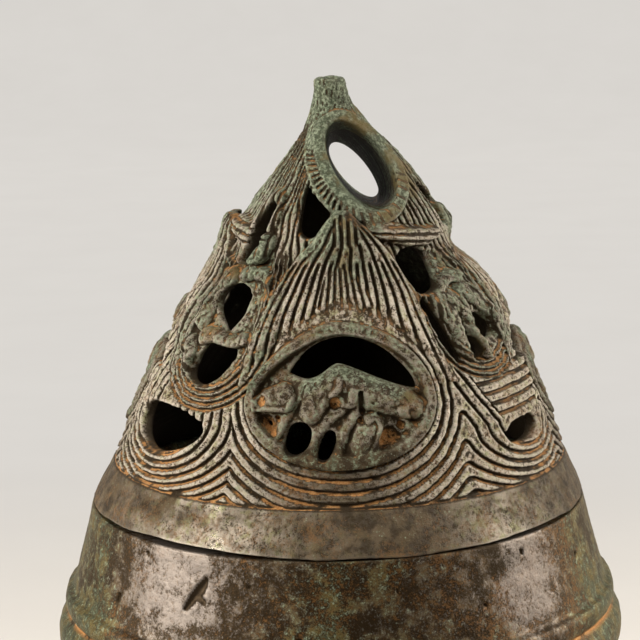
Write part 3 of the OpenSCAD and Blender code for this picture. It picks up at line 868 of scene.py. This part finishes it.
def valley_rocks(form, cut):
    """Form and grooves with the pockets of rocks in the valleys, and where these are."""
    left_number = ellipse_number((-43.0, 36.0), 14.5, 9.5, 2.2, 1.0, 0.4)
    right_number = ellipse_number((52.0, 36.0), 13.0, 6.4, 2.0, 1.0, 0.5)
    pockets = [(pocket_relief(left_number, LEFT_ROCKS, 4.5), LEFT_VALLEY, LEFT_VALLEYS)]
    pockets += [(pocket_relief(right_number, RIGHT_ROCKS, 3.6), RIGHT_VALLEY, RIGHT_VALLEYS)]
    rock = blank()
    for (pocket_form, pocket_cut, cover), drawn_at, angles in pockets:
        for angle in angles:
            over = turned(cover, angle - drawn_at)
            form = laid_over(form, turned(pocket_form, angle - drawn_at), over)
            cut = laid_over(cut, turned(pocket_cut, angle - drawn_at), over)
            rock = np.maximum(rock, over)
    upper_rocks = ridges(LEFT_ROCKS, UPPER_ROCK_RISE) * step(45.0, 47.0, HEIGHT)
    for angle in LEFT_VALLEYS:
        form = form + turned(upper_rocks, angle - LEFT_VALLEY)
    return form, cut, rock


def wear_charts(arch_number, arch_cover, pits, leaf_edge, rock, eye, window):
    """Patina, earth, wear with painted highlights on the band, and painted shade on the waves below the
    arches.
    """
    upper = step(38.0, 46.0, HEIGHT)
    patina = 0.08 + 0.08 * ABOVE_BAND + 0.28 * step(50.0, 62.0, HEIGHT) + 0.15 * step(69.0, 73.0, HEIGHT)
    patina = patina + 0.22 * rock + 0.09 * upper
    earth = 0.45 + 0.4 * fall(12.0, 20.0, HEIGHT) + 0.25 * rock
    # Painted highlights on the band where the softboxes reflect, left and right of the front, over patchy
    # wear.
    band_sheen_and_wear = 0.05 + 0.66 * hump(ANGLE, -33, 17)
    band_sheen_and_wear = band_sheen_and_wear + 0.40 * hump(ANGLE, 42, 13)
    band_sheen_and_wear = band_sheen_and_wear * (1.0 + 0.8 * lid_noise(2.5, 14.0, 11))
    ridge_worn = 0.72 - 0.16 * upper - 0.25 * step(66.0, 72.0, HEIGHT) - 0.16 * rock
    wear_sheen_and_shade = laid_over(band_sheen_and_wear, ridge_worn, ABOVE_BAND)
    shade = blank()
    # Painted shade: the waves below each arch get less wear and a dark shade chart.
    for angle in ARCHES:
        below = hump((ANGLE - angle + 180) % 360 - 180, 0, 22) * fall(15.0, 21.0, HEIGHT)
        wear_sheen_and_shade = wear_sheen_and_shade - 0.56 * below * ABOVE_BAND
        shade = shade + 0.28 * below * ABOVE_BAND

    ring_top = fall(0.5, 1.0, np.abs(arch_number + 0.5)) * step(30.0, 34.0, HEIGHT)
    cap = fall(0.8, 2.2, np.abs(leaf_edge + 1.0)) * step(46.0, 50.0, HEIGHT)
    cap = cap * fall(2.0, 6.0, ANGLE)
    crown = hump(ANGLE, 5.0, 11.0) * step(40.0, 49.0, HEIGHT)
    back = ridge(BEAST_BACK, 1.0)
    for angle in ARCHES:
        over = beside(arch_cover, angle)
        patina = patina + 0.13 * over + 0.06 * beside(ring_top, angle) + 0.36 * turned(cap, angle)
        patina = patina + 0.32 * turned(crown, angle) + 0.24 * beside(back, angle)
        earth = earth + 1.1 * beside(pits, angle)
        wear_sheen_and_shade = wear_sheen_and_shade - 0.40 * over
    green_rock = ridge(GREEN_ROCK, 0.7)
    for angle in LEFT_VALLEYS:
        patina = patina + turned(green_rock, angle - LEFT_VALLEY)

    round_eye = fall(1.6, 3.2, eye)
    wear_sheen_and_shade = laid_over(wear_sheen_and_shade, 0.45, round_eye)
    wear_sheen_and_shade = laid_over(wear_sheen_and_shade, 0.12, fall(-0.5, 0.1, eye))
    patina = patina + 0.14 * round_eye
    earth = earth + 0.35 * fall(0.2, 0.8, np.abs(window))
    return patina, earth, wear_sheen_and_shade, shade


def lid_charts():
    """Everything carved on the lid, as named charts."""
    warp = lid_noise(6.0, 30.0, 3)
    rough = 0.14 * lid_noise(1.6, 12.0, 5) + 0.14 * lid_noise(0.7, 3.0, 6)
    rough = rough * (0.30 + 0.70 * ABOVE_BAND)
    arch_number = ellipse_number((1.0, 26.3), 27.5, 11.9, 2.5, 1.9, shoulder=1.55)

    cut = grooves(ANGLE * PEAK_LINES / 360.0 + 0.5 * warp, *PEAK_GROOVE)
    cut = cut * step(44.0, 48.0, HEIGHT) * fall(68.0, 71.0, HEIGHT)
    form = 0.4 * warp * step(26.0, 32.0, HEIGHT) * fall(56.0, 62.0, HEIGHT)
    wave_cover = step(BAND_TOP, BAND_TOP + 0.4, HEIGHT) * fall(30.0, 36.0, HEIGHT)
    cut = laid_over(cut, grooves(wave_number(arch_number) + 0.08 * warp, *WAVE_GROOVE), wave_cover)
    form, cut, rock = valley_rocks(form, cut)
    rough = rough + 0.32 * rock * lid_noise(0.9, 5.0, 9)

    arch_form, cover, pits = arch_relief(arch_number)
    eave = ridge(EAVE, EAVE_RISE)
    eave_cut = grooves(HEIGHT / 1.2 + 0.03 * ANGLE, *EAVE_GROOVE)
    edge, bulge, line_cut, lean = curtain(arch_number)
    leaf_edge = blank(3.0)
    leaf_face = blank()
    leaf_cut = blank()
    for angle in ARCHES:
        over = beside(cover, angle)
        share = SIDE_RELIEF if angle in SIDE_ARCHES else 1.0
        form = laid_over(form, share * beside(arch_form, angle), over)
        cut = cut * (1 - over)
        brow = turned(eave, angle)
        form = np.where(brow > 0, np.maximum(form, brow), form)
        cut = laid_over(cut, turned(eave_cut, angle), step(0.4, 1.0, brow))
        near = np.maximum(turned(edge, angle), HEIGHT - LEAF_TOPS[angle])
        nearest = near < leaf_edge
        leaf_face = np.where(nearest, turned(bulge + LEAF_LEANS[angle] * lean, angle), leaf_face)
        leaf_cut = np.where(nearest, turned(line_cut, angle), leaf_cut)
        leaf_edge = np.minimum(leaf_edge, near)
    notch = hump(HEIGHT, RIGHT_NOTCH_Z, 3.0)
    notch = notch * hump(ANGLE, RIGHT_ARCH, 20.0, 4)
    leaf_face = leaf_face - LEAF_NOTCH_DEPTH * notch
    form = form - NOTCH_DEPTH * notch
    cut = cut - 0.5 * hump(HEIGHT, BAND_TOP, 0.35)

    x = RADIUS * np.sin(ANGLE * DEGREE) + row_lean[:, None]
    y = -RADIUS * np.cos(ANGLE * DEGREE)
    eye, turn = eye_distance(x, y, HEIGHT)
    lower_left = step(-0.3, 0.3, np.cos(turn + 135.0 * DEGREE))
    rope = grooves(turn * ROPE_STROKES / (2 * math.pi), *ROPE_GROOVE)
    rope = rope * step(0.0, 0.2, eye) * fall(1.9, 2.4, eye)
    form = laid_over(form, EYE_RIM_RISE, fall(0.4, 2.8, eye))
    cut = laid_over(cut, rope * lower_left, fall(2.6, 3.2, eye))
    window = lid_windows()
    patina, earth, wear_sheen_and_shade, shade = wear_charts(arch_number, cover, pits, edge, rock, eye, window)
    deepest = np.where(leaf_edge < 0, leaf_cut, cut)
    return {
        "relief": form + cut + rough,
        "window": window,
        "leaf_edge": leaf_edge,
        "leaf_face": leaf_face + leaf_cut + rough,
        "leaf_back": leaf_face - LEAF_THICK,
        # The groove chart also carries the painted shade below the arches.
        "groove_and_shade": np.clip(shade - deepest / FULL_GROOVE, 0.0, 1.0),
        "patina": patina,
        "earth": earth,
        "wear_sheen_and_shade": wear_sheen_and_shade,
        "plain": 1.0 - ABOVE_BAND,
    }


def rim_gap():
    """Height of the dark gap under the lid's rim, by column: wider left of the front."""
    left = hump(column_angle, -40.0, 24.0)
    right = hump(column_angle, 52.0, 16.0)
    uneven = np.sin(0.31 * column_angle) * np.sin(0.047 * column_angle + 1.0)
    return 0.22 + 0.75 * left + 0.45 * right + 0.10 * uneven


def lid_cells(charts):
    """Distance from the lid's surface in every cell, below 0 in the metal."""
    line = np.arange(-HALF_CELLS, HALF_CELLS + 1) * CELL
    x, y = (a.ravel() for a in np.meshgrid(line, line, indexing="ij"))
    column = (np.degrees(np.arctan2(x, -y)) + 180.0) * COLUMNS / 360.0 - 0.5
    first = np.floor(column).astype(int)
    part = (column - first).astype(np.float32)
    first %= COLUMNS
    gap = rim_gap()[first]
    slope = 1.0 / np.hypot(1.0, np.gradient(row_r, CELL))
    broken_top = LID_H - 0.4 + 0.35 * np.sin(0.9 * x + 1.2) * np.cos(1.1 * y)
    cells = np.ones((len(x), ROWS), np.float32)
    for i, z in enumerate(row_z):
        away = np.hypot(x - row_lean[i], y) - row_r[i]
        inner = LID_WALL + 2.0 if z < EYE_FOOT else row_r[i]
        near = np.flatnonzero((away > -inner - CELL) & (away < LEAF_REACH))
        j, t, away = first[near], part[near], away[near]

        def at(name):
            row = charts[name][i]
            return row[j] + (row[(j + 1) % COLUMNS] - row[j]) * t

        hollow = np.maximum(away + LID_WALL, z - HOLLOW_TOP)
        metal = soft_max((away - at("relief")) * slope[i], -hollow * slope[i], 0.3)
        metal = soft_max(metal, -at("window"), 0.5)
        leaf = soft_max((away - at("leaf_face")) * slope[i], (at("leaf_back") - away) * slope[i], 0.4)
        metal = np.minimum(metal, soft_max(leaf, at("leaf_edge"), 0.6))
        eye, _ = eye_distance(x[near], y[near], z)
        pipe = np.maximum(eye - EYE_RIM, away - 1.0)
        metal = soft_min(metal, pipe, 0.4)
        metal = soft_max(metal, -eye, 0.8)
        metal = np.maximum(metal, z - broken_top[near])
        cells[near, i] = np.clip(soft_max(metal, gap[near] - z, 0.4), -1.0, 1.0)
    return cells.reshape(len(line), len(line), ROWS)


def lid_piece(material):
    charts = lid_charts()
    grid = openvdb.FloatGrid(1.0)
    grid.copyFromArray(lid_cells(charts))
    points, triangles, quads = grid.convertToPolygons(isovalue=0.0, adaptivity=0.0)
    faces = [f.astype(np.int64) for f in (triangles, quads) if len(f)]
    label = joined_labels(len(points), face_edges(faces))
    whole = label == np.bincount(label).argmax()
    renumber = np.cumsum(whole) - 1
    faces = [renumber[f[whole[f[:, 0]]]] for f in faces]
    points = (points[whole] - (HALF_CELLS, HALF_CELLS, ROWS_BELOW)) * CELL
    piece = new_mesh("mountain_lid", (points + (0, 0, RIM_Z)) * MM, faces, material)

    edges = face_edges(faces)
    add_attribute(piece, "hollow", hollowness(piece, points, edges, HOLLOW_ROUNDS, HOLLOW_UNIT))
    column = np.floor((np.degrees(np.arctan2(points[:, 0], -points[:, 1])) + 180.0) * COLUMNS / 360.0)
    row = np.clip(np.round(points[:, 2] / CELL + ROWS_BELOW), 0, ROWS - 1).astype(int)
    column = column.astype(int) % COLUMNS
    for name in ("groove_and_shade", "patina", "earth", "wear_sheen_and_shade", "plain"):
        add_attribute(piece, name, np.clip(charts[name][row, column], 0.0, 1.5))
    # Inside: the inner surface and the walls of the holes, painted dark as part soot and part shade.
    outside = row_r[row] + charts["relief"][row, column]
    depth = outside - np.hypot(points[:, 0] - row_lean[row], points[:, 1])
    eye, _ = eye_distance(*points.T)
    inside = step(0.6, 1.6, depth) * (points[:, 2] < HOLLOW_TOP + 0.5) * step(0.4, 1.2, eye)
    add_attribute(piece, "inside", inside)
    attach(piece, "lid")
    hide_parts("lid")


# Bowl: half sections as (radius, height from the lid's rim), and the flaws of its shoulder as
# (angle, height, half width)
BOWL_OUTSIDE = [
    (40.6, 4), (41.3, 3.8), (41.7, 3.2), (43.1, 0.4), (43.6, 0.02), (45.8, 0), (46.3, -0.4), (47.3, -4.6),
    (48.8, -10), (50.1, -14.6), (50.6, -15.8), (51.6, -16.5), (52, -17.8), (51.9, -19.4), (51.5, -20.1),
    (52.1, -20.8), (53.1, -22.3), (53.5, -24.6), (53.1, -26.9), (52.1, -28.4), (51.5, -29.1), (51.9, -29.8),
    (52, -31.4), (51.5, -32.8), (50.6, -33.4),
]
BOWL_INSIDE = [
    (49.2, -22), (48.6, -18), (47.4, -15), (43.6, -7), (40, -1.2), (39.4, 0.4), (39.4, 3), (39.8, 3.8),
]
BELLY_AXIS = (8.0, -22.0)
BELLY_R = 44.0
BOWL_WALL = 2.8
BOSS_R = 12.0
BOSS_Z = -69.0
RIVET_BORE = 3.05
BELT_NOTCHES = (-20.1, -29.1)
BOWL_COLUMNS = 900
BOWL_DENTS = [
    [(-33.4, -9.6, 0.35), (-31.6, -7.6, 0.8), (-30.0, -5.8, 0.9), (-29.0, -4.4, 0.5)],
    [(-31.2, -7.2, 0.7), (-29.0, -8.0, 0.5)],
    [(-53.8, -12.2, 0.5), (-53.2, -10.6, 0.6)],
]
BOWL_PITS = [
    (-46, -2, 0.4), (43, -2.4, 0.45), (-19, -4.4, 0.3), (12, -5.2, 0.3),
    (31, -9.6, 0.35), (-8, -12.8, 0.4), (63, -7, 0.5),
]
FLAW_DEPTH = 0.7
UNEVENNESS = 0.07


def belly_arc(radius, start, end, count):
    """Points of the belly's arc between two angles below the horizontal."""
    turn = np.radians(np.linspace(start, end, count))
    return np.stack([BELLY_AXIS[0] + radius * np.cos(turn), BELLY_AXIS[1] - radius * np.sin(turn)], 1)


def bowl_section():
    """Closed half section of the bowl, and how many of its points are on the outside above the belly."""
    outside = smooth_line(BOWL_OUTSIDE, 0.45)
    foot = math.degrees(math.acos((BOSS_R - BELLY_AXIS[0]) / BELLY_R))
    floor = BELLY_AXIS[1] - BELLY_R + BOWL_WALL
    under = [(BOSS_R, BOSS_Z + 0.4), (BOSS_R - 0.4, BOSS_Z), (RIVET_BORE, BOSS_Z), (RIVET_BORE, floor)]
    belly = belly_arc(BELLY_R, 16.5, foot, 40)
    hollow = belly_arc(BELLY_R - BOWL_WALL, 90.0, 1.0, 50)
    return np.vstack([outside, belly, under, hollow, smooth_line(BOWL_INSIDE, 1.0)]), len(outside)


def bowl_piece(material):
    section, outer_count = bowl_section()
    outer_r, outer_z = section[:outer_count].T
    angle = np.linspace(-180.0, 180.0, BOWL_COLUMNS, endpoint=False)
    r, z = (np.repeat(part[:, None], BOWL_COLUMNS, axis=1) for part in section.T)
    theta = np.broadcast_to(angle, r.shape)
    turn = theta * DEGREE
    x = turn * r
    flaws = np.zeros(r.shape, np.float32)
    for points in BOWL_DENTS + [boss(*pit) for pit in BOWL_PITS]:
        line = [(a * DEGREE * np.interp(-h, -outer_z, outer_r), h) for a, h, _ in points]
        flaws = np.maximum(flaws, swell(x, z, line, [p[2] for p in points], 1.0))
    flaws[outer_count:] = 0.0
    uneven = band_noise(r.shape, (0.5, 0.36), 2.0, 20.0, 8)
    uneven[outer_count:] = 0.0
    r = r - FLAW_DEPTH * flaws + UNEVENNESS * uneven * step(0.0, 2.0, -z)
    points = np.stack([r * np.sin(turn), -r * np.cos(turn), z + RIM_Z], -1).reshape(-1, 3)
    number = np.arange(r.size).reshape(r.shape)
    over = np.roll(number, -1, axis=0)
    corners = [number, over, np.roll(over, -1, axis=1), np.roll(number, -1, axis=1)]
    piece = new_mesh("banded_bowl", points * MM, [np.stack(corners, -1).reshape(-1, 4)], material)

    notch = np.maximum.reduce([hump(z, at, 0.35) for at in BELT_NOTCHES])
    notch[outer_count:] = 0.0
    front = hump(theta, 0.0, 22.0)
    sides = step(48.0, 66.0, np.abs(theta - 2.0))
    low = step(-9.0, -17.0, z)
    # Bare metal, widened into painted highlights where the softboxes reflect, left and right of the front.
    clean_and_sheen = hump(theta, -36.0, 14.0) + hump(theta, 44.0, 9.0)
    add_attribute(piece, "clean_and_sheen", (clean_and_sheen * (1 - 0.6 * low)).ravel())
    add_attribute(piece, "groove_and_shade", np.maximum(flaws * 1.5, notch).ravel())
    add_attribute(piece, "patina", (0.30 * front + 0.40 * sides + 0.16 * low).ravel())
    add_attribute(piece, "earth", (0.9 * notch).ravel())
    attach(piece, "stand")
    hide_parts("bowl")


# Stage, and softboxes with azimuth from the camera's side, elevation, distance, size and power
STAGE_HALF = 3000.0
STAGE_FRONT = -2500.0
STAGE_BACK = 1600.0
STAGE_BEND = 700.0
STAGE_TOP = 2600.0
LAMP_WHITE = (1.0, 0.95, 0.88)
SKY_STRENGTH = 0.10
SOFTBOXES = {
    "left_softbox": (-74, 24, 900, 620, 16.0),
    "right_softbox": (97, 22, 950, 540, 12.0),
    "top_softbox": (15, 70, 1000, 700, 3.0),
}


def add_stage(material):
    """Floor that curves up into a backdrop far behind."""
    line = [(STAGE_FRONT, 0.0)]
    for i in range(13):
        t = i * math.pi / 24
        line.append((STAGE_BACK + STAGE_BEND * math.sin(t), STAGE_BEND * (1 - math.cos(t))))
    line.append((STAGE_BACK + STAGE_BEND, STAGE_TOP))
    points = np.array([(x, y, z) for y, z in line for x in (-STAGE_HALF, STAGE_HALF)])
    rows = np.arange(len(line) - 1)[:, None] * 2
    floor = new_mesh("floor", points * MM, [rows + np.array([0, 1, 3, 2])], material)


def add_light(name, azimuth, elevation, distance, size, power):
    """Square soft light that faces the middle of the lid's rim."""
    a, e = azimuth * DEGREE, elevation * DEGREE
    way = Vector((math.sin(a) * math.cos(e), -math.cos(a) * math.cos(e), math.sin(e)))
    data = bpy.data.lights.new(name, "AREA")
    data.size = size * MM
    data.energy = power
    data.color = LAMP_WHITE
    light = bpy.data.objects.new(name, data)
    light.location = (way * distance + Vector((0, 0, RIM_Z))) * MM
    light.rotation_euler = way.to_track_quat("Z", "Y").to_euler()
    bpy.context.scene.collection.objects.link(light)


def add_world():
    world = bpy.data.worlds.new("studio")
    world.use_nodes = True
    sky = world.node_tree.nodes["Background"]
    sky.inputs["Color"].default_value = (*LAMP_WHITE, 1)
    sky.inputs["Strength"].default_value = SKY_STRENGTH
    bpy.context.scene.world = world


bpy.context.scene.view_settings.view_transform = "Standard"
add_camera()
add_stage(pale_paper())
add_world()
for name, box in SOFTBOXES.items():
    add_light(name, *box)

lid_piece(carved_bronze())
bowl_piece(smooth_bronze("bowl_bronze", 0.0))
stand_finish = smooth_bronze("stand_bronze", 0.33)
for node in ("stem", "foot", "tray"):
    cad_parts[node].data.materials[0] = stand_finish
iron = rusty_iron()
for node in ("bowl_rivet", "tray_rivet"):
    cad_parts[node].data.materials[0] = iron
